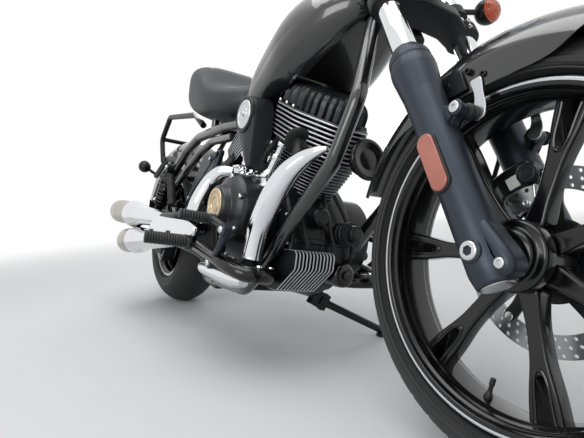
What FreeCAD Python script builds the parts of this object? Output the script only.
import FreeCAD, Part
import math
import os
import Sketcher
from FreeCAD import Placement, Rotation, Vector

# Cruiser motorcycle, parked on its side stand.
# Every piece is drawn upright in the bike's own frame: x forward from the rear axle, y to the
# rider's left, z up from the ground, in millimetres. PARKED then leans the whole bike over to its
# left, so that both tyres and the stand's foot touch the ground, and puts the origin under the
# middle of the bike.

DOC = FreeCAD.newDocument("cruiser_motorcycle")

# The driving dimensions.
# Columns: name, value in mm or degrees, what it is.
SIZES = (
    ("lean", 11.67, "lean to the left on the side stand, degrees"),
    ("centre_x", 786.5, "middle of the bike's length, from the rear axle"),
    ("centre_y", 193.07, "middle of the leaned bike's width"),
    ("wheelbase", 1626, "rear axle to front axle"),
    ("rake", 29, "steering axis from the vertical, degrees"),
    ("fork_offset", 39.2, "front axle ahead of the steering axis"),
    ("front_tyre_radius", 319, "130/60-19 tyre"),
    ("front_crown_radius", 66, "tread radius across the front tyre"),
    ("rear_tyre_radius", 320, "180/65-16 tyre"),
    ("rear_crown_radius", 96, "tread radius across the rear tyre"),
    ("front_rim_radius", 250, "where the front tyre seats"),
    ("rear_rim_radius", 212, "where the rear tyre seats"),
    ("front_rim_half", 47, "half the front rim's width between its lips"),
    ("rear_rim_half", 68, "half the rear rim's width between its lips"),
    ("axle_radius", 12.5, "both axles"),
    ("axle_play", 0.05, "running clearance round the axles"),
    ("socket_radius", 8, "bores in the axles' ends for a lift stand's pins"),
    ("plate_hole_radius", 3.5, "number plate screws"),
    ("boss_hole_radius", 4, "luggage bosses"),
    ("disc_radius", 149, "both brake discs"),
    ("disc_thick", 5, "both brake discs"),
    ("leg_spacing", 105, "fork leg from the middle plane"),
    ("tube_radius", 23, "46 mm fork tubes"),
    ("slider_radius", 32, "fork sliders"),
    ("slider_cap", 375, "axle to the slider's cap, along the leg"),
    ("lower_clamp", 509, "axle to the lower clamp's underside, along the leg"),
    ("upper_clamp", 745, "axle to the upper clamp's underside, along the leg"),
    ("leg_top", 800, "axle to the fork tube's top, along the leg"),
    ("frame_radius", 17, "34 mm frame tubes"),
    ("crank_x", 900, "crankshaft"),
    ("crank_z", 330, "crankshaft"),
    ("vee_half", 24.5, "half of the 49 degree angle between the cylinders"),
    ("fin_pitch", 13, "cooling fins"),
    ("fin_thick", 4.5, "cooling fins"),
    ("pivot_x", 560, "swingarm pivot"),
    ("pivot_z", 330, "swingarm pivot"),
    ("bar_radius", 12.7, "25.4 mm handlebar"),
    ("grip_radius", 17, "handlebar grips"),
)

SHEET = DOC.addObject("Spreadsheet::Sheet", "dim")
for row, (alias, value, meaning) in enumerate(SIZES, start=1):
    SHEET.set("A%d" % row, meaning)
    SHEET.set("B%d" % row, str(value))
    SHEET.setAlias("B%d" % row, alias)
DOC.recompute()


def size(alias):
    """A driving dimension as a plain number."""
    return float(SHEET.get(alias))


def number(formula):
    """The value of a plain number or of a formula on the sheet's names."""
    if isinstance(formula, str):
        return float(SHEET.evalExpression(formula))
    return float(formula)


def bind(item, **formulas):
    """Set an object's sizes: a formula stays bound to the sheet, a number is set as it is."""
    for name, formula in formulas.items():
        if isinstance(formula, str):
            item.setExpression(name, formula)
        else:
            setattr(item, name, formula)


LEAN = math.radians(size("lean"))
PARKED = Placement(Vector(-size("centre_x"), -size("centre_y"), 0), Rotation(Vector(1, 0, 0), -size("lean")))
RIGHT, LEFT = -1, 1
SIDES = (RIGHT, LEFT)
SIDE_NAME = {RIGHT: "right", LEFT: "left"}

# The axle heights put each leaned tyre's lowest point on the ground.
REAR_AXLE_Z = (size("rear_tyre_radius") - size("rear_crown_radius")
               + size("rear_crown_radius") / math.cos(LEAN))
FRONT_AXLE_Z = (size("front_tyre_radius") - size("front_crown_radius")
                + size("front_crown_radius") / math.cos(LEAN))
REAR_AXLE = Vector(0, 0, REAR_AXLE_Z)
FRONT_AXLE = Vector(size("wheelbase"), 0, FRONT_AXLE_Z)
RAKE = math.radians(size("rake"))
UP_FORK = Vector(-math.sin(RAKE), 0, math.cos(RAKE))
AHEAD_OF_FORK = Vector(math.cos(RAKE), 0, math.sin(RAKE))
STEER_FOOT = FRONT_AXLE - AHEAD_OF_FORK * size("fork_offset")
ACROSS = Vector(0, 1, 0)
UP = Vector(0, 0, 1)
FORWARD = Vector(1, 0, 0)


def on_leg(side, along, ahead=0.0, out=0.0):
    """A point beside a fork leg: along it from the axle, ahead of it and outwards from it."""
    base = FRONT_AXLE + UP_FORK * along + AHEAD_OF_FORK * ahead
    return base + ACROSS * (side * (size("leg_spacing") + out))


def on_stem(along, ahead=0.0, across=0.0):
    """A point beside the steering axis, by its distance along it from the axle's level."""
    return STEER_FOOT + UP_FORK * along + AHEAD_OF_FORK * ahead + ACROSS * across


def place(point, direction=UP, turn=0.0):
    """Parked placement of something whose own Z points along a direction, turned about it."""
    facing = Rotation(UP, Vector(*direction))
    return PARKED.multiply(Placement(Vector(*point), facing.multiply(Rotation(UP, turn))))


def frame_of(point, x_axis, z_axis):
    """Parked placement from a point and the directions of its own X and Z."""
    facing = Rotation(Vector(*x_axis), Vector(0, 0, 0), Vector(*z_axis), "ZXY")
    return PARKED.multiply(Placement(Vector(*point), facing))


# Builders: primitives, booleans, sketched bodies, swept bars and lofts

def rod(name, start, end, radius):
    """A round bar from one point to another."""
    start, end = Vector(*start), Vector(*end)
    item = DOC.addObject("Part::Cylinder", name)
    bind(item, Radius=radius, Height=(end - start).Length)
    item.Placement = place(start, end - start)
    return item


def taper(name, start, end, radius_start, radius_end):
    """A cone from one point to another."""
    start, end = Vector(*start), Vector(*end)
    item = DOC.addObject("Part::Cone", name)
    bind(item, Radius1=radius_start, Radius2=radius_end, Height=(end - start).Length)
    item.Placement = place(start, end - start)
    return item


def ball(name, centre, radius):
    """A sphere."""
    item = DOC.addObject("Part::Sphere", name)
    bind(item, Radius=radius)
    item.Placement = place(centre)
    return item


def block(name, centre, sizes, x_axis=FORWARD, z_axis=UP):
    """A box about its centre; its own X and Z may be turned."""
    item = DOC.addObject("Part::Box", name)
    bind(item, Length=sizes[0], Width=sizes[1], Height=sizes[2])
    half = Vector(*[number(value) / 2 for value in sizes])
    item.Placement = frame_of(centre, x_axis, z_axis).multiply(Placement(half.negative(), Rotation()))
    return item


def fuse(name, items):
    """Several solids joined into one, or kept side by side where they don't touch."""
    item = DOC.addObject("Part::MultiFuse", name)
    item.Shapes = list(items)
    item.Refine = False
    return item


def beside(name, items):
    """Several separate solids in one node."""
    item = DOC.addObject("Part::Compound", name)
    item.Links = list(items)
    return item


def cut(name, base, tools):
    """A solid with the space of other solids taken out of it, one after the other."""
    for index, tool in enumerate(tools, start=1):
        item = DOC.addObject("Part::Cut", "%s_%d" % (name, index))
        item.Base = base
        item.Tool = tool
        item.Refine = False
        base = item
    return base


def origin_plane(body, role):
    """One of a body's own origin planes."""
    return [plane for plane in body.Origin.OriginFeatures if plane.Role == role][0]


def arc_centre(start, end, radius):
    """Centre of the arc from start to end that bulges to the right for a positive radius."""
    chord = end - start
    half = chord.Length / 2
    normal = Vector(-chord.y, chord.x, 0).normalize()
    rise = math.sqrt(max(radius * radius - half * half, 0.0))
    return (start + end) * 0.5 + normal * (rise if radius > 0 else -rise)


def draw(sketch, rows):
    """Draw a closed outline, join its corners and bind those given by a formula to the sheet.

    Each row is a corner (across, up) or (across, up, radius); the radius is that of the arc that
    reaches the corner, positive where it bulges to the right of the way the outline runs.
    """
    corners = [Vector(number(row[0]), number(row[1]), 0) for row in rows]
    ends = []
    for index, row in enumerate(rows):
        start, end = corners[index - 1], corners[index]
        ends.append((2, 1) if len(row) == 3 and number(row[2]) < 0 else (1, 2))
        if len(row) == 3:
            radius = number(row[2])
            centre = arc_centre(start, end, radius)
            low = math.atan2(start.y - centre.y, start.x - centre.x)
            high = math.atan2(end.y - centre.y, end.x - centre.x)
            if radius < 0:
                low, high = high, low
            while high < low:
                high += 2 * math.pi
            circle = Part.Circle(centre, Vector(0, 0, 1), abs(radius))
            sketch.addGeometry(Part.ArcOfCircle(circle, low, high), False)
        else:
            sketch.addGeometry(Part.LineSegment(start, end), False)
    for index, row in enumerate(rows):
        after = (index + 1) % len(rows)
        sketch.addConstraint(Sketcher.Constraint("Coincident", index, ends[index][1], after, ends[after][0]))
        for kind, value in (("DistanceX", row[0]), ("DistanceY", row[1])):
            if isinstance(value, str):
                rule = Sketcher.Constraint(kind, -1, 1, index, ends[index][1], number(value))
                bound = sketch.addConstraint(rule)
                sketch.setExpression("Constraints[%d]" % bound, value)


def sketch_in(body, name, role, rows):
    """A sketch of one closed outline on an origin plane of its body."""
    sketch = body.newObject("Sketcher::SketchObject", name)
    sketch.AttachmentSupport = [(origin_plane(body, role), "")]
    sketch.MapMode = "FlatFace"
    draw(sketch, rows)
    return sketch


def body_at(name, placement):
    """An empty body with its own placement."""
    body = DOC.addObject("PartDesign::Body", name)
    body.Placement = placement
    return body


def swapped(rows):
    """Outline rows with their two columns swapped, which turns each arc the other way."""
    return [(row[1], row[0]) + tuple(-radius for radius in row[2:]) for row in rows]


def turned(name, rows, centre, direction=ACROSS, angle=360.0, turn=0.0):
    """A solid of revolution. The outline's rows are (along the axis, radius)."""
    body = body_at(name, place(centre, direction, turn))
    sketch = sketch_in(body, name + "_outline", "XZ_Plane", swapped(rows))
    solid = body.newObject("PartDesign::Revolution", name + "_turned")
    solid.Profile = sketch
    solid.ReferenceAxis = (sketch, ["V_Axis"])
    bind(solid, Angle=angle)
    body.Tip = solid
    return body


def plate(name, rows, y_low, thickness):
    """A flat plate seen from the side: outline rows (x, z), from y_low towards the left."""
    body = body_at(name, PARKED.multiply(Placement(Vector(0, number(y_low), 0), Rotation())))
    sketch = sketch_in(body, name + "_outline", "XZ_Plane", rows)
    solid = body.newObject("PartDesign::Pad", name + "_pad")
    solid.Profile = sketch
    bind(solid, Length=thickness, Reversed=True)
    body.Tip = solid
    return body


def bent_path(points, bend):
    """A wire of straight runs joined by tangent arcs of the bend radius."""
    points = [Vector(*point) for point in points]
    edges = []
    start = points[0]
    for before, corner, after in zip(points, points[1:], points[2:]):
        inward = (before - corner).normalize()
        outward = (after - corner).normalize()
        half_turn = (math.pi - inward.getAngle(outward)) / 2
        reach = bend * math.tan(half_turn)
        arc_start, arc_end = corner + inward * reach, corner + outward * reach
        middle = corner + (inward + outward).normalize() * (bend / math.cos(half_turn) - bend)
        edges.append(Part.LineSegment(start, arc_start).toShape())
        edges.append(Part.Arc(arc_start, middle, arc_end).toShape())
        start = arc_end
    edges.append(Part.LineSegment(start, points[-1]).toShape())
    return Part.Wire(edges)


def bent_bar(name, points, radius, bend):
    """A round bar swept along straight runs and tangent bends."""
    path = DOC.addObject("Part::Feature", name + "_path")
    path.Shape = bent_path(points, bend)
    path.Placement = PARKED
    ring = DOC.addObject("Part::Circle", name + "_ring")
    bind(ring, Radius=radius)
    ring.Placement = place(points[0], Vector(*points[1]) - Vector(*points[0]))
    sweep = DOC.addObject("Part::Sweep", name)
    sweep.Sections = [ring]
    sweep.Spine = (path, ["Edge%d" % (index + 1) for index in range(len(path.Shape.Edges))])
    sweep.Solid = True
    return sweep


def crowned_section(x, half_width, low, widest, high, foot=0.55, shoulder=0.74):
    """A section across the bike: flat underneath, widest at one height and arched over the top.

    The foot and the shoulder are parts of the half width: where the flat underside ends, and where the
    top curve has three quarters of its rise.
    """
    base = half_width * foot
    corners = {}
    for side in SIDES:
        corners[side] = (Vector(x, side * base, low), Vector(x, side * half_width, widest))
    top = Vector(x, 0, high)
    edges = [Part.LineSegment(corners[RIGHT][0], corners[LEFT][0]).toShape()]
    for side, flip in ((LEFT, False), (RIGHT, True)):
        foot_corner, wide_corner = corners[side]
        bulge = Vector(x, side * (base + (half_width - base) * 0.8), low + (widest - low) * 0.4)
        crown = Vector(x, side * half_width * shoulder, widest + (high - widest) * 0.76)
        arcs = [(foot_corner, bulge, wide_corner), (wide_corner, crown, top)]
        if flip:
            arcs = [(top, crown, wide_corner), (wide_corner, bulge, foot_corner)]
        edges += [Part.Arc(*arc).toShape() for arc in arcs]
    return Part.Wire(edges)


def lofted(name, wires):
    """A smooth solid through a few closed sections."""
    sections = []
    for index, wire in enumerate(wires):
        section = DOC.addObject("Part::Feature", "%s_section_%d" % (name, index + 1))
        section.Shape = wire
        section.Placement = PARKED
        sections.append(section)
    loft = DOC.addObject("Part::Loft", name)
    loft.Sections = sections
    loft.Solid = True
    return loft


NODES = {}


def keep(name, item):
    """Name a sub-part: its label is its file's and node's name."""
    item.Label = name
    NODES[name] = item
    return item


# Wheels

TREAD_END = 68.0


def tyre(name, centre, radius, crown, seat, half_seat, half_wide, wide_radius):
    """Tyre section: flat seat, bead flange, sidewall and round tread."""
    shoulder = math.radians(TREAD_END)
    shoulder_y = crown * math.sin(shoulder)
    shoulder_r = radius - crown + crown * math.cos(shoulder)
    rows = [(-half_seat, seat), (half_seat, seat), (half_seat, seat + 8), (half_wide - 3, seat + 14),
            (half_wide, wide_radius), (shoulder_y, shoulder_r), (-shoulder_y, shoulder_r, crown),
            (-half_wide, wide_radius), (-half_wide + 3, seat + 14), (-half_seat, seat + 8)]
    return keep(name, turned(name, rows, centre))


tyre("front_tyre", FRONT_AXLE, size("front_tyre_radius"), size("front_crown_radius"),
     size("front_rim_radius"), size("front_rim_half"), 64.5, 276)
tyre("rear_tyre", REAR_AXLE, size("rear_tyre_radius"), size("rear_crown_radius"),
     size("rear_rim_radius"), size("rear_rim_half"), 89.5, 262)


def rim_rows(seat, half, lip, well, wall):
    """Rim section: lips outside the bead, shoulders and a drop in the middle."""
    outside = [(-half - 5, seat - 12), (-half - 5, seat + lip), (-half, seat + lip), (-half, seat),
               (half, seat), (half, seat + lip), (half + 5, seat + lip), (half + 5, seat - 12)]
    inside = [(half - 8, seat - wall), (well, seat - wall - 10), (-well, seat - wall - 10),
              (-half + 8, seat - wall)]
    return outside + inside


SPOKES = 7
FIRST_SPOKE = 25.0


def spoke(name, centre, angle, hub, crotch, rim, arm_gap, trunk, arm, thick):
    """One cast spoke: a tapering trunk from the hub that forks into two arms before the rim."""
    body = body_at(name, PARKED.multiply(Placement(centre, Rotation(ACROSS, -angle))))
    rows = [(hub, -trunk * 0.62), (crotch * 0.62, -trunk * 0.42), (crotch, -trunk * 0.5),
            (rim - 46, -arm_gap - arm * 0.7), (rim, -arm_gap - arm), (rim, -arm_gap + arm * 0.2),
            (crotch + 34, -arm_gap * 0.45), (crotch + 22, 0), (crotch + 34, arm_gap * 0.45),
            (rim, arm_gap - arm * 0.2), (rim, arm_gap + arm), (rim - 46, arm_gap + arm * 0.7),
            (crotch, trunk * 0.5),
            (crotch * 0.62, trunk * 0.42), (hub, trunk * 0.62)]
    sketch = sketch_in(body, name + "_outline", "XZ_Plane", rows)
    pad = body.newObject("PartDesign::Pad", name + "_pad")
    pad.Profile = sketch
    pad.SideType = "Symmetric"
    bind(pad, Length=thick)
    body.Tip = pad
    return body


def cast_wheel(name, centre, seat, half, hub_rows, hub_radius, thick, extra=()):
    """Rim, hub and the ring of forked spokes between them."""
    rim = turned(name + "_rim", rim_rows(seat, half, 7, half * 0.45, 11), centre)
    hub = turned(name + "_hub", hub_rows, centre)
    spokes = []
    for index in range(SPOKES):
        angle = FIRST_SPOKE + index * 360.0 / SPOKES
        spokes.append(spoke("%s_spoke_%d" % (name, index + 1), centre, angle, hub_radius - 6,
                            hub_radius + (seat - hub_radius) * 0.48, seat - 13, 15, 28, 10, thick))
    return fuse(name + "_cast", [rim, hub] + spokes + list(extra))


FRONT_HUB_HALF = 60.0
AXLE_BORE = "dim.axle_radius + dim.axle_play"
front_hub = [(-FRONT_HUB_HALF, AXLE_BORE), (-FRONT_HUB_HALF, 40), (-48, 52), (-20, 52), (-16, 44), (30, 44),
             (34, 40), (FRONT_HUB_HALF, 40), (FRONT_HUB_HALF, AXLE_BORE)]
keep("front_wheel", cast_wheel("front_wheel", FRONT_AXLE, size("front_rim_radius"), size("front_rim_half"),
                               front_hub, 50, 30))

REAR_HUB_HALF = 92.0
rear_hub = [(-REAR_HUB_HALF, AXLE_BORE), (-REAR_HUB_HALF, 34), (-70, 56), (70, 56), (REAR_HUB_HALF, 48),
            (REAR_HUB_HALF, AXLE_BORE)]
PULLEY_RADIUS = 104.0
PULLEY_LOW, PULLEY_HIGH = 94.0, 122.0
pulley = turned("rear_pulley", [(90, 46), (PULLEY_LOW, PULLEY_RADIUS + 4), (PULLEY_LOW + 3, PULLEY_RADIUS),
                                (PULLEY_HIGH, PULLEY_RADIUS), (PULLEY_HIGH, 84), (100, 78), (100, 46),
                                (124, 34), (124, AXLE_BORE), (90, AXLE_BORE)], REAR_AXLE)
keep("rear_wheel", cast_wheel("rear_wheel", REAR_AXLE, size("rear_rim_radius"), size("rear_rim_half"),
                              rear_hub, 54, 40, [pulley]))


def brake_disc(name, centre, y_low, bore):
    """Drilled brake disc with its open carrier of five arms."""
    y_high = y_low + size("disc_thick")
    ring = turned(name + "_ring", [(y_low, 112), (y_high, 112), (y_high, "dim.disc_radius"),
                                   (y_low, "dim.disc_radius")], centre)
    carrier = turned(name + "_carrier", [(y_low, bore), (y_high, bore), (y_high, bore + 26),
                                         (y_low, bore + 26)], centre)
    arms = []
    for index in range(5):
        turn = Rotation(ACROSS, 72 * index + 20)
        middle = centre + turn.multVec(FORWARD) * ((bore + 140) / 2) + ACROSS * (y_low + y_high) * 0.5
        arms.append(block("%s_arm_%d" % (name, index + 1), middle, (122 - bore, "dim.disc_thick", 16),
                          turn.multVec(FORWARD), turn.multVec(UP)))
    return fuse(name + "_blank", [ring, carrier] + arms)


FRONT_DISC_Y = 61.0
REAR_DISC_Y = -102.0
keep("front_disc", brake_disc("front_disc", FRONT_AXLE, FRONT_DISC_Y, 40.5))
keep("rear_disc", brake_disc("rear_disc", REAR_AXLE, REAR_DISC_Y, 34))

# Front fork and everything that steers

AXLE_END = 142.0
front_axle = rod("front_axle_bar", FRONT_AXLE - ACROSS * AXLE_END, FRONT_AXLE + ACROSS * AXLE_END,
                 "dim.axle_radius")
front_socket = rod("front_axle_bore", FRONT_AXLE - ACROSS * (AXLE_END + 4),
                   FRONT_AXLE - ACROSS * (AXLE_END - 16), "dim.socket_radius")
keep("front_axle", cut("front_axle_cut", front_axle, [front_socket]))

# Each slider has an arm ahead of it that carries the front fender, and a boss for the axle's clamp screw.
FENDER_LUG, FENDER_LUG_AHEAD = 276.0, 64.0
PINCH_AT = -18.0
TUBE_FOOT = 300.0
fork_tubes = []
sliders = []
for side in SIDES:
    tag = SIDE_NAME[side]
    fork_tubes.append(rod("fork_tube_" + tag, on_leg(side, TUBE_FOOT), on_leg(side, size("leg_top")),
                          "dim.tube_radius"))
    lower_rows = [(-46, 0), (-46, 26), (-30, "dim.slider_radius"), (300, "dim.slider_radius"), (330, 36),
                  ("dim.slider_cap", 39), ("dim.slider_cap", 0)]
    leg = turned("slider_leg_" + tag, lower_rows, on_leg(side, 0), UP_FORK)
    lug = block("slider_lug_" + tag, on_leg(side, FENDER_LUG, 36), (56, 16, 26), AHEAD_OF_FORK, UP_FORK)
    boss = rod("slider_boss_" + tag, on_leg(side, FENDER_LUG, FENDER_LUG_AHEAD, -12),
               on_leg(side, FENDER_LUG, FENDER_LUG_AHEAD, 12), 15)
    pinch = taper("slider_pinch_" + tag, on_leg(side, PINCH_AT, 8), on_leg(side, PINCH_AT, 46), 27, 17)
    sliders.append(fuse("slider_" + tag, [leg, lug, boss, pinch]))
fork_tubes_node = beside("fork_tubes_pair", fork_tubes)
keep("fork_tubes", fork_tubes_node)
keep("fork_sliders", cut("fork_sliders_cut", beside("fork_sliders_pair", sliders),
                         [fork_tubes_node, front_axle]))


COLLAR_RADIUS = 37.0


def clamp(name, along, thick):
    """One fork clamp: a bridge with a collar round each tube."""
    width = 2 * size("leg_spacing") - 60
    middle = block(name + "_bridge", on_stem(along + thick / 2, 16), (74, width, thick), AHEAD_OF_FORK, UP_FORK)
    collars = [rod(name + "_collar_" + SIDE_NAME[side], on_leg(side, along), on_leg(side, along + thick),
                   COLLAR_RADIUS) for side in SIDES]
    return fuse(name, [middle] + collars)


lower = clamp("lower_clamp", size("lower_clamp"), 38)
upper = clamp("upper_clamp", size("upper_clamp"), 26)
STEM_RADIUS = 15.0
stem = rod("stem", on_stem(size("lower_clamp") + 10), on_stem(size("upper_clamp") + 20), STEM_RADIUS)
stem_nut = rod("stem_nut", on_stem(size("upper_clamp") + 20), on_stem(size("upper_clamp") + 44), 22)
keep("triple_clamps", cut("triple_clamps_cut", fuse("triple_clamps_blank", [lower, upper, stem, stem_nut]),
                          [fork_tubes_node]))

# The front fender is a turned shell, cut off along its lower edge as seen from the side.
FENDER_WALL = 3.5
FENDER_HALF = 71.0
fender_rows = [(-FENDER_HALF, 250), (-FENDER_HALF, 306), (FENDER_HALF, 306, -73), (FENDER_HALF, 250),
               (FENDER_HALF - FENDER_WALL, 250), (FENDER_HALF - FENDER_WALL, 306),
               (-FENDER_HALF + FENDER_WALL, 306, 69.5), (-FENDER_HALF + FENDER_WALL, 250)]
FENDER_FROM, FENDER_TO = 66.0, 164.0


def shell(name, rows, centre, angle_from, angle_to):
    """A turned shell over a wheel, between two angles from straight ahead."""
    body = body_at(name, PARKED.multiply(Placement(centre, Rotation(ACROSS, -angle_from))))
    sketch = sketch_in(body, name + "_outline", "XY_Plane", swapped(rows))
    solid = body.newObject("PartDesign::Revolution", name + "_turned")
    solid.Profile = sketch
    solid.ReferenceAxis = (sketch, ["V_Axis"])
    bind(solid, Angle=angle_to - angle_from, Reversed=True)
    body.Tip = solid
    return body


front_fender_shell = shell("front_fender_shell", fender_rows, FRONT_AXLE, FENDER_FROM, FENDER_TO)
skirt_cut = plate("front_fender_trim", [(1200, 200), (1900, 200), (1900, 640), (1745, 640), (1695, 598),
                                        (1660, 586), (1590, 578), (1575, 562), (1530, 560), (1452, 545),
                                        (1400, 520), (1345, 450), (1200, 330)], -120, 240)
stays = [rod("fender_stay_" + SIDE_NAME[side], on_leg(side, FENDER_LUG, FENDER_LUG_AHEAD, -39),
             on_leg(side, FENDER_LUG, FENDER_LUG_AHEAD, -12), 10) for side in SIDES]
trimmed_fender = cut("front_fender_cut", front_fender_shell, [skirt_cut])
keep("front_fender", fuse("front_fender_stays", [trimmed_fender] + stays))

# Headlamp in front of the clamps, with its own bracket
LAMP_AXIS = Vector(1, 0, -0.02).normalize()
lamp_centre = on_stem(640, 175)
lamp_rows = [(-95, 0), (-95, 30), (-70, 62), (-30, 84), (28, 92), (40, 92), (40, 84), (30, 78), (30, 0)]
lamp_shell = turned("headlamp_shell", lamp_rows, lamp_centre, LAMP_AXIS)
lamp_arm = rod("headlamp_arm", on_stem(size("lower_clamp") + 20, 50), lamp_centre - LAMP_AXIS * 40, 14)
headlamp = keep("headlamp", cut("headlamp_cut", fuse("headlamp_blank", [lamp_shell, lamp_arm]),
                                [NODES["triple_clamps"]]))
keep("headlamp_lens", turned("headlamp_lens", [(30, 0), (30, 78), (40, 84), (46, 60), (50, 30), (52, 0)],
                             lamp_centre, LAMP_AXIS))

# Handlebar: risers on the upper clamp and a pulled-back bar
bar_base = on_stem(size("upper_clamp") + 96, -6)
BAR_END_X, BAR_END_Y, BAR_END_Z = bar_base.x - 190, 425.0, bar_base.z + 40


def bar_points():
    """The handlebar's corners from the right end to the left end."""
    half = [(BAR_END_X, BAR_END_Y, BAR_END_Z), (bar_base.x - 55, 270, BAR_END_Z + 14),
            (bar_base.x, 130, bar_base.z)]
    right = [(x, -y, z) for x, y, z in half]
    return right + list(reversed(half))


handlebar_bar = bent_bar("handlebar_bar", bar_points(), "dim.bar_radius", 60)
risers = []
for side in SIDES:
    foot = on_stem(size("upper_clamp") + 26, 0, side * 48)
    risers.append(rod("riser_%s" % SIDE_NAME[side], foot, bar_base + ACROSS * (side * 48) - UP_FORK * 18, 16))
    risers.append(block("riser_cap_%s" % SIDE_NAME[side], (bar_base.x, side * 48, bar_base.z), (42, 34, 42),
                        AHEAD_OF_FORK, UP_FORK))
handlebar = keep("handlebar", cut("handlebar_cut", fuse("handlebar_blank", [handlebar_bar] + risers),
                                  [NODES["triple_clamps"]]))

grips = []
controls = []
for side in SIDES:
    tag = SIDE_NAME[side]
    end = Vector(BAR_END_X, side * BAR_END_Y, BAR_END_Z)
    inner = Vector(bar_base.x - 55, side * 270, BAR_END_Z + 14)
    along = (inner - end).normalize()
    grips.append(rod("grip_" + tag, end - along * 6, end + along * 118, "dim.grip_radius"))
    housing = rod("switch_housing_" + tag, end + along * 119, end + along * 152, 24)
    tank_at = end + along * 160
    reservoir = block("reservoir_" + tag, tank_at + FORWARD * 26 + UP * 16, (44, 46, 34))
    perch = block("lever_perch_" + tag, tank_at + FORWARD * 20, (44, 30, 24))
    tip = end + FORWARD * 62 + along * 6
    lever = bent_bar("lever_" + tag, [tank_at + FORWARD * 38, end + along * 110 + FORWARD * 62, tip], 5.5, 40)
    mirror_foot = tank_at + FORWARD * 20 + UP * 12
    mirror_at = Vector(mirror_foot.x + 10, side * 415, mirror_foot.z + 88)
    stalk = rod("mirror_stalk_" + tag, mirror_foot, mirror_at, 5)
    head_rows = [(-14, 0), (-11, 34), (-2, 50), (6, 52), (6, 0)]
    head = turned("mirror_head_" + tag, head_rows, mirror_at, Vector(-1, -0.12 * side, 0.05))
    controls.append(fuse("controls_" + tag, [housing, reservoir, perch, lever, stalk, head]))
grips_node = cut("grips_cut", beside("grips_pair", grips), [handlebar])
keep("grips", grips_node)
keep("hand_controls", cut("hand_controls_cut", beside("controls_pair", controls), [handlebar, grips_node]))

# Round gauge on top of the headlamp
gauge_at = on_stem(size("upper_clamp") + 70, 96)
gauge_axis = Vector(-0.45, 0, 0.89).normalize()
gauge = turned("instrument_cup", [(-52, 0), (-46, 30), (-10, 50), (0, 52), (0, 0)], gauge_at, gauge_axis)
gauge_arm = rod("instrument_arm", on_stem(size("upper_clamp") + 12, 30), gauge_at - gauge_axis * 40, 10)
keep("instrument", cut("instrument_cut", fuse("instrument_blank", [gauge, gauge_arm]),
                       [NODES["triple_clamps"], headlamp]))

# Front turn signals on short stems from the lower clamp
signals = []
for side in SIDES:
    tag = SIDE_NAME[side]
    root = on_leg(side, size("lower_clamp") + 70, 20, 0)
    lens_at = on_leg(side, size("lower_clamp") + 70, 46, 62)
    collar = rod("signal_collar_" + tag, on_leg(side, size("lower_clamp") + 58),
                 on_leg(side, size("lower_clamp") + 82), 30)
    signals.append(fuse("signal_front_" + tag, [collar, rod("signal_stem_" + tag, root, lens_at, 6),
                                               ball("signal_ball_" + tag, lens_at, 27)]))
keep("front_signals", cut("front_signals_cut", beside("front_signals_pair", signals), [fork_tubes_node]))

# Front brake caliper behind the left leg, over the disc
CALIPER_ANGLE = 150.0


DISC_ROOM = 4.0


def caliper(name, centre, angle, disc_low, reach_low, reach_high, lug_end):
    """A two-part caliper that straddles its disc, with a lug to what carries it."""
    turn = Rotation(ACROSS, -angle)
    out, tangent = turn.multVec(FORWARD), turn.multVec(UP)
    disc_high = disc_low + size("disc_thick")
    spans = ((reach_low, disc_low - DISC_ROOM), (disc_high + DISC_ROOM, reach_high))
    halves = []
    for index, (low, high) in enumerate(spans):
        middle = centre + out * 126 + ACROSS * ((low + high) / 2)
        halves.append(block("%s_half_%d" % (name, index + 1), middle, (52, high - low, 104), out, tangent))
    bridge = block(name + "_bridge", centre + out * 160 + ACROSS * ((reach_low + reach_high) / 2),
                   (18, reach_high - reach_low, 92), out, tangent)
    lug_y = reach_high if lug_end.y > 0 else reach_low
    lug = rod(name + "_lug", centre + out * 150 + ACROSS * lug_y, lug_end, 11)
    return fuse(name + "_blank", halves + [bridge, lug])


leg_anchor = on_leg(LEFT, 150)
front_caliper = caliper("front_caliper", FRONT_AXLE, CALIPER_ANGLE, FRONT_DISC_Y, 40, 92, leg_anchor)
keep("front_caliper", cut("front_caliper_cut", front_caliper,
                          [NODES["fork_sliders"], fork_tubes_node, front_axle]))

# Brake hose from the lower clamp down behind the left leg to the caliper
# Columns: along the leg from the axle, ahead of the leg, outwards from it
HOSE_STATIONS = ((509, -22, 18), (470, -24, 20), (400, -40, 28), (320, -40, 26), (240, -42, 22),
                 (190, -66, 0), (144, -88, -20))
hose_points = [on_leg(LEFT, *station) for station in HOSE_STATIONS]
keep("brake_hose", cut("brake_hose_cut", bent_bar("brake_hose_bar", hose_points, 4.5, 30),
                       [NODES["front_caliper"], NODES["triple_clamps"]]))

# Frame

head_low, head_high = on_stem(size("lower_clamp") + 42), on_stem(size("upper_clamp") - 4)
HEAD_BORE = STEM_RADIUS + 0.05
head_tube = rod("head_tube", head_low, head_high, 34)
backbone = bent_bar("backbone", [on_stem(640, -20), (1120, 0, 838), (850, 0, 792), (620, 0, 696),
                                 (588, 0, 641)], 22, 50)
head_bore = rod("head_bore", head_low - UP_FORK * 10, head_high + UP_FORK * 10, HEAD_BORE)
gusset = plate("head_gusset", [(1180, 830), (1280, 800), (1300, 815), (1244, 920), (1180, 890)], -13, 26)
keep("steering_head", cut("steering_head_cut", fuse("steering_head_blank", [head_tube, backbone, gusset]),
                          [head_bore]))

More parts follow.
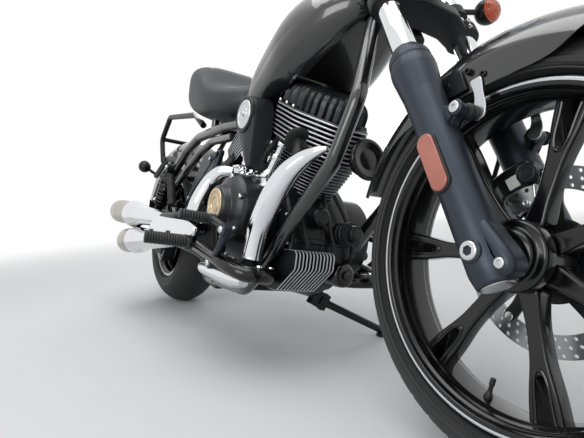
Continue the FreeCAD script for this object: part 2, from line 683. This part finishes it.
RAIL_Z, RAIL_Y = 168.0, 112.0
for side in SIDES:
    tag = SIDE_NAME[side]
    points = [(1240, side * 26, 815), (1300, side * 95, 614), (1250, side * 108, 480), (1110, side * RAIL_Y, 352),
              (985, side * RAIL_Y, 225), (900, side * RAIL_Y, RAIL_Z), (640, side * RAIL_Y, RAIL_Z)]
    tube = bent_bar("downtube_" + tag, points, "dim.frame_radius", 70)
    keep("frame_tube_" + tag, cut("downtube_cut_" + tag, tube, [NODES["steering_head"]]))

# Cross members and the cast plates that carry the swingarm pivot and the foot controls
CROSS_END = RAIL_Y - 3
cross = [rod("cross_front", (1048, -CROSS_END, 289), (1048, CROSS_END, 289), 12),
         rod("cross_mid", (820, -CROSS_END, RAIL_Z + 1), (820, CROSS_END, RAIL_Z + 1), 12),
         rod("cross_rear", (664, -CROSS_END, RAIL_Z + 1), (664, CROSS_END, RAIL_Z + 1), 13)]
for side in SIDES:
    low = 95 if side == LEFT else -123
    cross.append(plate("pivot_plate_%s" % SIDE_NAME[side],
                       [(500, 300), (590, 160), (720, 140), (724, 206), (660, 330), (680, 470), (760, 600),
                        (740, 634), (640, 600), (560, 450)], low, 28))
cross_blank = fuse("cross_members", cross)
PIVOT = Vector(size("pivot_x"), 0, size("pivot_z"))
pivot_shaft = rod("pivot_shaft", PIVOT - ACROSS * 128, PIVOT + ACROSS * 128, 14)
keep("frame_crossmembers", cut("cross_members_cut", fuse("cross_members_shaft", [cross_blank, pivot_shaft]),
                               [NODES["frame_tube_right"], NODES["frame_tube_left"]]))

# Seat, with a channel in its base over the backbone
# Columns: x, half width, underside, widest height, top
SEAT_STATIONS = (
    (345, 148, 752, 830, 895),
    (405, 182, 728, 832, 930),
    (480, 189, 706, 806, 902),
    (580, 166, 704, 748, 800),
    (680, 130, 712, 744, 776),
    (758, 84, 732, 756, 786),
)
SEAT_EDGE = 0.8
seat_blank = lofted("seat_loft", [crowned_section(*row, SEAT_EDGE, SEAT_EDGE) for row in SEAT_STATIONS])
channel = plate("seat_channel", [(560, 600), (560, 697), (800, 797), (800, 600)], -26, 52)
keep("seat", cut("seat_cut", seat_blank, [channel]))

# Rear frame: two tubes a side that meet at the shock's top mount, and pads that carry the seat
SHOCK_TOP = Vector(172, 152, 560)
rear_tubes = []
for side in SIDES:
    tag = SIDE_NAME[side]
    rear_tubes.append(bent_bar("seat_rail_" + tag, [(775, side * 108, 652), (640, side * 112, 663),
                                                    (400, side * 118, 661), (280, side * 124, 625),
                                                    (172, side * 130, 560), (90, side * 132, 506)],
                               "dim.frame_radius", 90))
    rear_tubes.append(bent_bar("stay_" + tag, [(705, side * 112, 618), (540, side * 114, 628),
                                               (430, side * 118, 604), (330, side * 122, 558),
                                               (225, side * 128, 505), (110, side * 132, 500)], 14, 60))
rear_tubes.append(rod("seat_cross", (588, -112, 652), (588, 112, 652), 14))
for side in SIDES:
    rear_tubes.append(rod("seat_pad_" + SIDE_NAME[side], (530, side * 112, 662), (530, side * 112, 716), 13))
    rear_tubes.append(rod("shock_pin_" + SIDE_NAME[side], (SHOCK_TOP.x, side * 142, SHOCK_TOP.z),
                          (SHOCK_TOP.x, side * 168, SHOCK_TOP.z), 9))
keep("rear_frame", cut("rear_frame_cut", fuse("rear_frame_blank", rear_tubes),
                       [NODES["frame_crossmembers"], NODES["steering_head"], NODES["seat"]]))

# Fuel tank
# Columns: x, half width, underside, widest height, top
TANK_STATIONS = (
    (776, 98, 662, 700, 750),
    (800, 122, 654, 704, 790),
    (890, 142, 668, 742, 878),
    (1010, 152, 706, 795, 936),
    (1120, 136, 758, 838, 936),
    (1205, 96, 808, 858, 900),
    (1240, 60, 834, 860, 880),
)
tank_blank = lofted("fuel_tank_loft", [crowned_section(*station) for station in TANK_STATIONS])


def cylinder_axes(lean):
    """Directions along a cylinder and square to it, for lean 1 at the front one and -1 at the rear one."""
    tilt = math.radians(size("vee_half")) * lean
    return Vector(math.sin(tilt), 0, math.cos(tilt)), Vector(math.cos(tilt), 0, -math.sin(tilt))


# Room for the rocker covers is taken out of the tank's underside.
CRANK = Vector(size("crank_x"), 0, size("crank_z"))
CYLINDERS = (("front", 1), ("rear", -1))
tunnels = []
for tag, lean in CYLINDERS:
    axis, square = cylinder_axes(lean)
    tunnels.append(block("cover_room_" + tag, CRANK + axis * 350, (244, 194, 144), square, axis))
keep("fuel_tank", cut("fuel_tank_cut", tank_blank, [NODES["steering_head"], NODES["rear_frame"]] + tunnels))
cap_blank = turned("filler_cap_blank", [(-20, 0), (-20, 34), (9, 34), (14, 30), (16, 0)], (1060, 0, 946),
                   Vector(-0.1, 0, 1))
keep("filler_cap", cut("filler_cap_cut", cap_blank, [NODES["fuel_tank"]]))

# Engine

case_rows = [(640, 250), (700, 186), (1010, 186), (1080, 250), (1088, 340), (1040, 430), (985, 480),
             (815, 480), (760, 440), (650, 430)]
crankcase_blank = plate("crankcase_body", case_rows, -94, 188)
keep("crankcase", cut("crankcase_cut", crankcase_blank, [NODES["frame_crossmembers"], NODES["frame_tube_right"],
                                                         NODES["frame_tube_left"]]))


def rounded(name, base, edges, radius):
    """A box with some of its edges, given by their numbers, rounded to one radius."""
    item = DOC.addObject("Part::Fillet", name)
    item.Base = base
    item.Edges = [(edge, radius, radius) for edge in edges]
    return item


# Distances along each cylinder from the crankshaft, and the fins on its barrel and on its head
# Fin columns: first fin's distance, number of fins, length and width of a fin
BARREL_FROM, BARREL_TO, BARREL_RADIUS = 120.0, 262.0, 58.0
HEAD_AT, COVER_AT = 304.0, 378.0
FIN_ROWS = ((150, 9, 168, 156), (268, 6, 212, 176))
FIN_ROUND, COVER_ROUND = 22.0, 26.0
UPRIGHT_EDGES, TOP_AND_BOTTOM_EDGES = (1, 3, 5, 7), (2, 6, 10, 12)
COVER_RIBS, RIB_PITCH = 9, 22.0
cylinders = []
rocker_covers = []
for tag, lean in CYLINDERS:
    axis, square = cylinder_axes(lean)
    pieces = [rod("barrel_" + tag, CRANK + axis * BARREL_FROM, CRANK + axis * BARREL_TO, BARREL_RADIUS),
              block("head_core_" + tag, CRANK + axis * HEAD_AT, (176, 140, 84), square, axis)]
    for first, count, length, width in FIN_ROWS:
        for index in range(count):
            middle = CRANK + axis * (first + index * size("fin_pitch") + size("fin_thick") / 2)
            fin = block("fin_%s_%d_%d" % (tag, first, index), middle, (length, width, "dim.fin_thick"),
                        square, axis)
            pieces.append(rounded(fin.Name + "_round", fin, UPRIGHT_EDGES, FIN_ROUND))
    cylinders.append(fuse("cylinder_" + tag, pieces))
    cover = block("rocker_body_" + tag, CRANK + axis * COVER_AT, (218, 168, 64), square, axis)
    cover = rounded("rocker_soft_" + tag, cover, TOP_AND_BOTTOM_EDGES, COVER_ROUND)
    ribs = []
    for index in range(COVER_RIBS):
        middle = CRANK + axis * COVER_AT + square * (RIB_PITCH * (index - (COVER_RIBS - 1) / 2))
        ribs.append(block("rocker_rib_%s_%d" % (tag, index), middle, (7, 176, 68), square, axis))
    rocker_covers.append(fuse("rocker_cover_" + tag, [cover] + ribs))
cylinder_pair = [cylinders[0], cut("cylinder_rear_cut", cylinders[1], [cylinders[0]])]
keep("cylinders", cut("cylinders_cut", beside("cylinders_pair", cylinder_pair), [NODES["crankcase"]]))
keep("rocker_covers", cut("rocker_covers_cut", beside("rocker_covers_pair", rocker_covers),
                          [NODES["cylinders"]]))

# Round cam cover on the right, in front of a plate that follows the cam gears' case
cam_rows = [(-229, 0), (-229, 46), (-224, 53), (-206, 57), (-200, 74), (-190, 86), (-182, 91), (-94, 96),
            (-94, 0)]
CAM_X = 912.0
cam_drum = turned("cam_drum", cam_rows, (CAM_X, 0, 384))
cam_skirt = plate("cam_skirt", [(800, 235), (985, 235), (1022, 330), (1010, 430), (940, 478), (820, 450),
                                (788, 330)], -140, 46)
keep("cam_cover", cut("cam_cover_cut", fuse("cam_cover_blank", [cam_drum, cam_skirt]),
                      [NODES["crankcase"], NODES["frame_tube_right"]]))

# Primary cover on the left, with the clutch behind its rear drum and the alternator behind its front one
primary_rows = [(720, 226, 112), (960, 222), (1056, 300, 112), (1040, 400, 90), (940, 446, 112), (730, 440),
                (640, 330, 122)]
primary = plate("primary_body", primary_rows, 94, 84)
clutch = turned("primary_clutch", [(178, 0), (178, 92), (190, 84), (192, 0)], (748, 0, 332))
stator = turned("primary_stator", [(178, 0), (178, 74), (188, 66), (190, 0)], (948, 0, 334))
keep("primary_cover", cut("primary_cut", fuse("primary_blank", [primary, clutch, stator]),
                          [NODES["crankcase"], NODES["frame_tube_left"], NODES["frame_crossmembers"]]))

pushrods = []
for tag, lean in CYLINDERS:
    for index in range(2):
        foot = Vector(CAM_X + lean * (34 + 30 * index), -112, 478)
        top = Vector(CAM_X + lean * (94 + 44 * index), -98, 612)
        pushrods.append(rod("pushrod_%s_%d" % (tag, index), foot, top, 10.5))
keep("pushrod_tubes", cut("pushrods_cut", beside("pushrods", pushrods),
                          [NODES["cylinders"], NODES["cam_cover"], NODES["crankcase"]]))

# Teardrop air cleaner on the right, fed through a short trunk from between the heads
CLEANER_HEAD = Vector(912, -170, 636)
CLEANER_TIP = Vector(951, -170, 497)
CLEANER_DEEP = 58.0
head_drum = taper("cleaner_head", CLEANER_HEAD, CLEANER_HEAD + ACROSS * CLEANER_DEEP, 50, 54)
tip_drum = taper("cleaner_tip", CLEANER_TIP, CLEANER_TIP + ACROSS * CLEANER_DEEP, 12, 16)
web_rows = [(864, 622), (939, 492), (963, 497), (962, 636)]
cleaner_web = plate("cleaner_web", web_rows, CLEANER_HEAD.y, CLEANER_DEEP)
trunk = rod("cleaner_trunk", (912, -114, 620), (912, -20, 590), 30)
keep("air_cleaner", cut("air_cleaner_cut", fuse("air_cleaner_blank", [head_drum, tip_drum, cleaner_web, trunk]),
                        [NODES["cylinders"], NODES["rocker_covers"], NODES["pushrod_tubes"], NODES["crankcase"],
                         NODES["fuel_tank"]]))

# Exhaust: headers, heat shields and two stacked mufflers

HEADER_RADIUS = 22.0
UPPER_FROM, LOWER_FROM = (440, -230, 344), (600, -200, 222)
front_header_path = [(1120, -88, 590), (1215, -128, 545), (1205, -160, 470), (1085, -166, 350),
                     (985, -170, 250), (880, -178, 222), LOWER_FROM]
rear_header_path = [(640, -88, 560), (590, -140, 540), (575, -176, 470), (560, -206, 380), (470, -226, 344),
                    (420, -232, 344)]
front_header = bent_bar("front_header", front_header_path, HEADER_RADIUS, 40)
rear_header = bent_bar("rear_header", rear_header_path, HEADER_RADIUS, 26)
keep("exhaust_headers", cut("headers_cut", beside("headers", [front_header, rear_header]),
                            [NODES["cylinders"], NODES["frame_tube_right"], NODES["crankcase"],
                             NODES["cam_cover"], NODES["rocker_covers"], NODES["rear_frame"],
                             NODES["frame_crossmembers"]]))
front_shield = bent_bar("front_shield", [(1212, -150, 512), (1200, -160, 468), (1085, -166, 350),
                                         (985, -170, 252), (930, -174, 234)], 35, 40)
low_shield = bent_bar("low_shield", [(900, -178, 222), (800, -186, 222), (620, -199, 222)], 33, 60)
rear_shield = bent_bar("rear_shield", [(584, -158, 510), (575, -176, 470), (560, -206, 380), (500, -220, 352)],
                       34, 26)
keep("heat_shields", cut("heat_shields_cut", beside("shield_parts", [front_shield, low_shield, rear_shield]),
                         [NODES["exhaust_headers"], NODES["frame_tube_right"], NODES["cam_cover"],
                          NODES["cylinders"], NODES["crankcase"], NODES["rear_frame"],
                          NODES["frame_crossmembers"]]))


def muffler(name, start, end):
    """A muffler: reducing cone, straight drum and an open tip."""
    start, end = Vector(*start), Vector(*end)
    length = (end - start).Length
    rows = [(0, 0), (0, 30), (70, 47), (length - 118, 50), (length - 112, 52), (length - 4, 52), (length, 50),
            (length, 45), (length - 40, 44), (length - 40, 0)]
    return turned(name, rows, start, end - start)


upper_muffler = muffler("muffler_upper", UPPER_FROM, (-235, -250, 375))
lower_muffler = muffler("muffler_lower", LOWER_FROM, (-65, -235, 246))
strap = plate("muffler_strap", [(215, 215), (300, 215), (345, 380), (250, 385)], -190, 8)
strap_arm = rod("muffler_strap_arm", (300, -184, 268), (540, -116, 268), 10)
keep("mufflers", cut("mufflers_cut", beside("mufflers_pair", [upper_muffler, lower_muffler]),
                     [NODES["exhaust_headers"], NODES["heat_shields"]]))
keep("muffler_bracket", cut("muffler_bracket_cut", fuse("muffler_bracket_blank", [strap, strap_arm]),
                            [NODES["mufflers"], NODES["frame_crossmembers"], NODES["rear_frame"],
                             NODES["heat_shields"], NODES["exhaust_headers"]]))

# Finned regulator box in front of the engine, and the oil filter beside it
cooler_core = block("cooler_core", (1052, -40, 232), (84, 108, 96))
COOLER_FINS, COOLER_PITCH = 11, 10.4
cooler_fins = [block("cooler_fin_%d" % index, (1066, -92 + COOLER_PITCH * index, 234), (106, 4, 108))
               for index in range(COOLER_FINS)]
oil_filter = rod("oil_filter", (1056, 52, 238), (1124, 52, 238), 31)
keep("oil_cooler", cut("oil_cooler_cut", fuse("oil_cooler_blank", [cooler_core] + cooler_fins + [oil_filter]),
                       [NODES["crankcase"], NODES["frame_tube_right"], NODES["frame_tube_left"],
                        NODES["primary_cover"], NODES["frame_crossmembers"]]))

# Swingarm, rear axle, belt, brake and shocks

ARM_IN, ARM_OUT = 132.0, 160.0
arms = []
for side in SIDES:
    low = ARM_IN if side == LEFT else -ARM_OUT
    arms.append(plate("arm_%s" % SIDE_NAME[side],
                      [(-48, 300), (-48, 345), (20, 356), (540, 362), (596, 340), (596, 318), (540, 300),
                       (20, 288)],
                      low, ARM_OUT - ARM_IN))
arms.append(block("arm_bridge", (430, 0, 330), (52, 2 * ARM_IN, 50)))
REAR_AXLE_END = 170.0
rear_axle = rod("rear_axle_bar", REAR_AXLE - ACROSS * REAR_AXLE_END, REAR_AXLE + ACROSS * REAR_AXLE_END,
                "dim.axle_radius")
rear_socket = rod("rear_axle_bore", REAR_AXLE + ACROSS * (REAR_AXLE_END - 20),
                  REAR_AXLE + ACROSS * (REAR_AXLE_END + 4), "dim.socket_radius")
keep("rear_axle", cut("rear_axle_cut", rear_axle, [rear_socket]))
keep("swingarm", cut("swingarm_cut", fuse("swingarm_blank", arms), [rear_axle, NODES["frame_crossmembers"]]))


# The belt is a loop over the wheel's pulley and over the gearbox's, with two straight runs between them.
BELT_THICK = 6.0
BELT_LOW, BELT_HIGH = 99.0, 119.0
PULLEY_FRONT = Vector(612, 0, 332)
FRONT_LOOP = 50.0
belt_loop = PULLEY_RADIUS + BELT_THICK
big_loop = rod("belt_loop_rear", REAR_AXLE + ACROSS * BELT_LOW, REAR_AXLE + ACROSS * BELT_HIGH, belt_loop)
small_loop = rod("belt_loop_front", PULLEY_FRONT + ACROSS * BELT_LOW, PULLEY_FRONT + ACROSS * BELT_HIGH,
                 FRONT_LOOP)
rise = math.asin((belt_loop - FRONT_LOOP) / PULLEY_FRONT.x)
runs = []
for sign in (1, -1):
    normal = Vector(math.sin(rise), 0, sign * math.cos(rise))
    middle = ACROSS * ((BELT_LOW + BELT_HIGH) / 2)
    start = REAR_AXLE + normal * (belt_loop - BELT_THICK / 2) + middle
    end = PULLEY_FRONT + normal * (FRONT_LOOP - BELT_THICK / 2) + middle
    runs.append(block("belt_run_%d" % (sign + 1), (start + end) * 0.5,
                      ((end - start).Length, BELT_HIGH - BELT_LOW, BELT_THICK), end - start, normal))
belt_solid = fuse("belt_blank", [big_loop, small_loop] + runs)
belt_hole = rod("belt_hole", REAR_AXLE + ACROSS * 90, REAR_AXLE + ACROSS * 130, PULLEY_RADIUS + 0.4)
keep("drive_belt", cut("belt_cut", belt_solid, [belt_hole, NODES["swingarm"], NODES["frame_crossmembers"],
                                                NODES["primary_cover"], NODES["crankcase"]]))

rear_caliper = caliper("rear_caliper", REAR_AXLE, 320, REAR_DISC_Y, -130, -84, Vector(130, -146, 300))
keep("rear_caliper", cut("rear_caliper_cut", rear_caliper, [NODES["swingarm"], rear_axle]))

shocks = []
for side in SIDES:
    tag = SIDE_NAME[side]
    low, high = Vector(40, side * 150, 380), Vector(SHOCK_TOP.x, side * SHOCK_TOP.y, SHOCK_TOP.z)
    line = (high - low).normalize()
    length = (high - low).Length
    rows = [(12, 0), (12, 15), (34, 15), (34, 27), (46, 27), (46, 21), (150, 21), (150, 26), (length - 30, 26),
            (length - 30, 16), (length - 12, 16), (length - 12, 0)]
    damper = turned("damper_" + tag, rows, low, line)
    coils = []
    for index in range(7):
        coil = DOC.addObject("Part::Torus", "coil_%s_%d" % (tag, index))
        bind(coil, Radius1=24, Radius2=4.5)
        coil.Placement = place(low + line * (54 + index * 14.5), line)
        coils.append(coil)
    eyes = [rod("eye_low_" + tag, low - ACROSS * 14, low + ACROSS * 14, 16),
            rod("eye_high_" + tag, high - ACROSS * 14, high + ACROSS * 14, 16),
            rod("shock_foot_" + tag, low, low - UP * 40, 10)]
    shocks.append(fuse("shock_" + tag, [damper] + coils + eyes))
keep("shocks", cut("shocks_cut", beside("shocks_pair", shocks), [NODES["swingarm"], NODES["rear_frame"]]))

# Rear fender, its rails, lamps and side covers
rear_fender_rows = [(-106, 280), (-106, 335), (106, 335, -122), (106, 280), (102, 280), (102, 335),
                    (-102, 335, 118), (-102, 280)]
rear_shell = shell("rear_fender_shell", rear_fender_rows, REAR_AXLE, 20, 157)
rear_trim = plate("rear_fender_trim", [(-420, 200), (420, 200), (420, 455), (330, 470), (230, 530), (60, 585),
                                       (-120, 560), (-250, 470), (-310, 385), (-420, 385)], -130, 260)
keep("rear_fender", cut("rear_fender_cut", rear_shell, [rear_trim, NODES["rear_frame"]]))
rails = []
for side in SIDES:
    tag = SIDE_NAME[side]
    rails.append(bent_bar("rack_bar_" + tag, [(470, side * 134, 690), (380, side * 138, 744),
                                              (40, side * 142, 798), (-70, side * 140, 716),
                                              (-40, side * 132, 610)], 11, 36))
    rails.append(bent_bar("fender_strut_" + tag, [(190, side * 124, 596), (0, side * 124, 622),
                                                  (-190, side * 120, 560)], 12, 80))
rails.append(rod("rack_cross", (-60, -140, 716), (-60, 140, 716), 9))
BOSS_END = 140.0
BOSS_Z = 620.0
rails += [rod("luggage_boss_" + SIDE_NAME[side], (0, side * 124, BOSS_Z), (0, side * BOSS_END, BOSS_Z), 10)
          for side in SIDES]
boss_holes = [rod("boss_hole_" + SIDE_NAME[side], (0, side * (BOSS_END - 12), BOSS_Z),
                  (0, side * (BOSS_END + 4), BOSS_Z), "dim.boss_hole_radius") for side in SIDES]
rails_blank = fuse("fender_rails_blank", rails)
keep("fender_rails", cut("fender_rails_cut", rails_blank, [NODES["rear_frame"], NODES["rear_fender"],
                                                           NODES["seat"], NODES["shocks"]] + boss_holes))

tail_shell = turned("tail_lamp_shell", [(-10, 0), (-10, 34), (20, 40), (30, 34), (36, 0)], (-318, 0, 560),
                    Vector(-1, 0, 0.1))
tail_foot = block("tail_lamp_foot", (-290, 0, 540), (60, 44, 22))
plate_arm = bent_bar("plate_arm", [(-300, 0, 520), (-350, 0, 430), (-360, 0, 360)], 8, 30)
number_plate = block("number_plate", (-369.5, 0, 400), (5, 190, 110))
plate_holes = [rod("plate_hole_" + SIDE_NAME[side], (-360, side * 80, 400), (-380, side * 80, 400),
                   "dim.plate_hole_radius") for side in SIDES]
drilled_plate = cut("number_plate_cut", number_plate, plate_holes)
lamps = [fuse("tail_lamp", [tail_shell, tail_foot, plate_arm, drilled_plate])]
for side in SIDES:
    tag = SIDE_NAME[side]
    lens_at = Vector(-190, side * 178, 596)
    stem = rod("rear_stem_" + tag, (-180, side * 124, 566), lens_at, 7)
    lamps.append(fuse("signal_rear_" + tag, [ball("rear_ball_" + tag, lens_at, 28), stem]))
keep("rear_lamps", cut("rear_lamps_cut", beside("rear_lamps_parts", lamps),
                       [NODES["fender_rails"], NODES["rear_fender"]]))

covers = []
for side in SIDES:
    low = 104 if side == LEFT else -122
    foot_z = 425 if side == LEFT else 385
    covers.append(plate("side_cover_" + SIDE_NAME[side], [(330, 470), (440, foot_z), (520, foot_z + 15),
                                                          (600, 520), (640, 590), (470, 575)], low, 18))
keep("side_covers", cut("side_covers_cut", beside("side_covers_pair", covers),
                        [NODES["rear_frame"], NODES["frame_crossmembers"], NODES["heat_shields"],
                         NODES["exhaust_headers"], NODES["swingarm"]]))

# Foot pegs, brake pedal and gear lever
pegs = []
levers = []
for side in SIDES:
    tag = SIDE_NAME[side]
    arm = bent_bar("peg_arm_" + tag, [(990, side * 112, 222), (1040, side * 140, 204), (1040, side * 200, 206),
                                      (980, side * 230, 226), (880, side * 236, 246),
                                      (826, side * 258, 281)], 12, 20)
    pad = rod("peg_pad_" + tag, (822, side * 262, 283), (806, side * 372, 286), 17)
    pegs.append(fuse("rider_peg_" + tag, [arm, pad]))
    fold = block("passenger_hinge_" + tag, (330, side * 150, 408), (44, 26, 36))
    pad = rod("passenger_pad_" + tag, (322, side * 172, 404), (268, side * 176, 520), 15)
    pegs.append(fuse("passenger_peg_" + tag, [fold, pad]))
    lever = bent_bar("foot_lever_" + tag, [(950, side * 234, 232), (1000, side * 244, 274), (1044, side * 246, 322),
                                           (938, side * 246, 348)], 9, 16)
    pedal = rod("foot_pad_" + tag, (938, side * 240, 348), (930, side * 322, 352), 12)
    levers.append(fuse("foot_control_" + tag, [lever, pedal]))
PEG_NEIGHBOURS = ("frame_tube_right", "frame_tube_left", "frame_crossmembers", "heat_shields", "exhaust_headers",
                  "rear_frame", "side_covers", "primary_cover", "mufflers", "muffler_bracket")
LEVER_NEIGHBOURS = ("foot_pegs", "heat_shields", "exhaust_headers", "cam_cover", "primary_cover")
keep("foot_pegs", cut("foot_pegs_cut", beside("pegs", pegs), [NODES[name] for name in PEG_NEIGHBOURS]))
keep("foot_levers", cut("foot_levers_cut", beside("levers", levers), [NODES[name] for name in LEVER_NEIGHBOURS]))

# Side stand: a leg that reaches forwards and out to the ground, on a pin under the left rail
STAND_PIVOT = Vector(900, 150, 140)
FOOT_Y = 306.0
PIN_RADIUS = 7.0
STAND_FOOT = Vector(1010, FOOT_Y, FOOT_Y * math.tan(LEAN))
leg_axis = (STAND_FOOT - STAND_PIVOT).normalize()
ground_up = Vector(0, -math.sin(LEAN), math.cos(LEAN))
shin = taper("stand_shin", STAND_PIVOT + leg_axis * 8, STAND_FOOT + ground_up * 9, 11.5, 10)
foot = rod("stand_foot", STAND_FOOT, STAND_FOOT + ground_up * 8, 26)
folded = Vector(-1, 0.08, 0.03).normalize()
stand_hinge = leg_axis.cross(folded).normalize()
knuckle = rod("stand_knuckle", STAND_PIVOT - stand_hinge * 12, STAND_PIVOT + stand_hinge * 12, 18)
stand_bore = rod("stand_bore", STAND_PIVOT - stand_hinge * 20, STAND_PIVOT + stand_hinge * 20,
                 PIN_RADIUS + size("axle_play"))
keep("side_stand", cut("side_stand_cut", fuse("side_stand_blank", [shin, foot, knuckle]), [stand_bore]))

pin = rod("stand_pin", STAND_PIVOT - stand_hinge * 26, STAND_PIVOT + stand_hinge * 26, PIN_RADIUS)
to_rail = Vector(0, -38, 28)
to_rail = (to_rail - stand_hinge * to_rail.dot(stand_hinge)).normalize()
ears = [block("stand_ear_%d" % sign, STAND_PIVOT + stand_hinge * (sign * 18.2) + to_rail * 8, (36, 26, 11),
              to_rail, stand_hinge) for sign in (-1, 1)]
stand_base = block("stand_base", STAND_PIVOT + to_rail * 34, (24, 26, 47.4), to_rail, stand_hinge)
keep("stand_bracket", cut("stand_bracket_cut", fuse("stand_bracket_blank", [pin, stand_base] + ears),
                          [NODES["frame_tube_left"], NODES["frame_crossmembers"], NODES["crankcase"]]))

DOC.recompute()


def check_model():
    """Stop on any failed object or unsound solid."""
    faults = ["%s (%s)" % (item.Name, item.getStatusString()) for item in DOC.Objects
              if "Invalid" in item.State or "Error" in item.State]
    for name, item in NODES.items():
        if item.Shape.isNull() or not item.Shape.isValid() or not item.Shape.Solids:
            faults.append(name)
    if faults:
        raise RuntimeError("no sound solid: " + ", ".join(faults))


check_model()
os.makedirs("parts", exist_ok=True)
for name, item in NODES.items():
    item.Shape.exportStep("parts/%s.step" % name)
print("%d sub-parts written" % len(NODES))
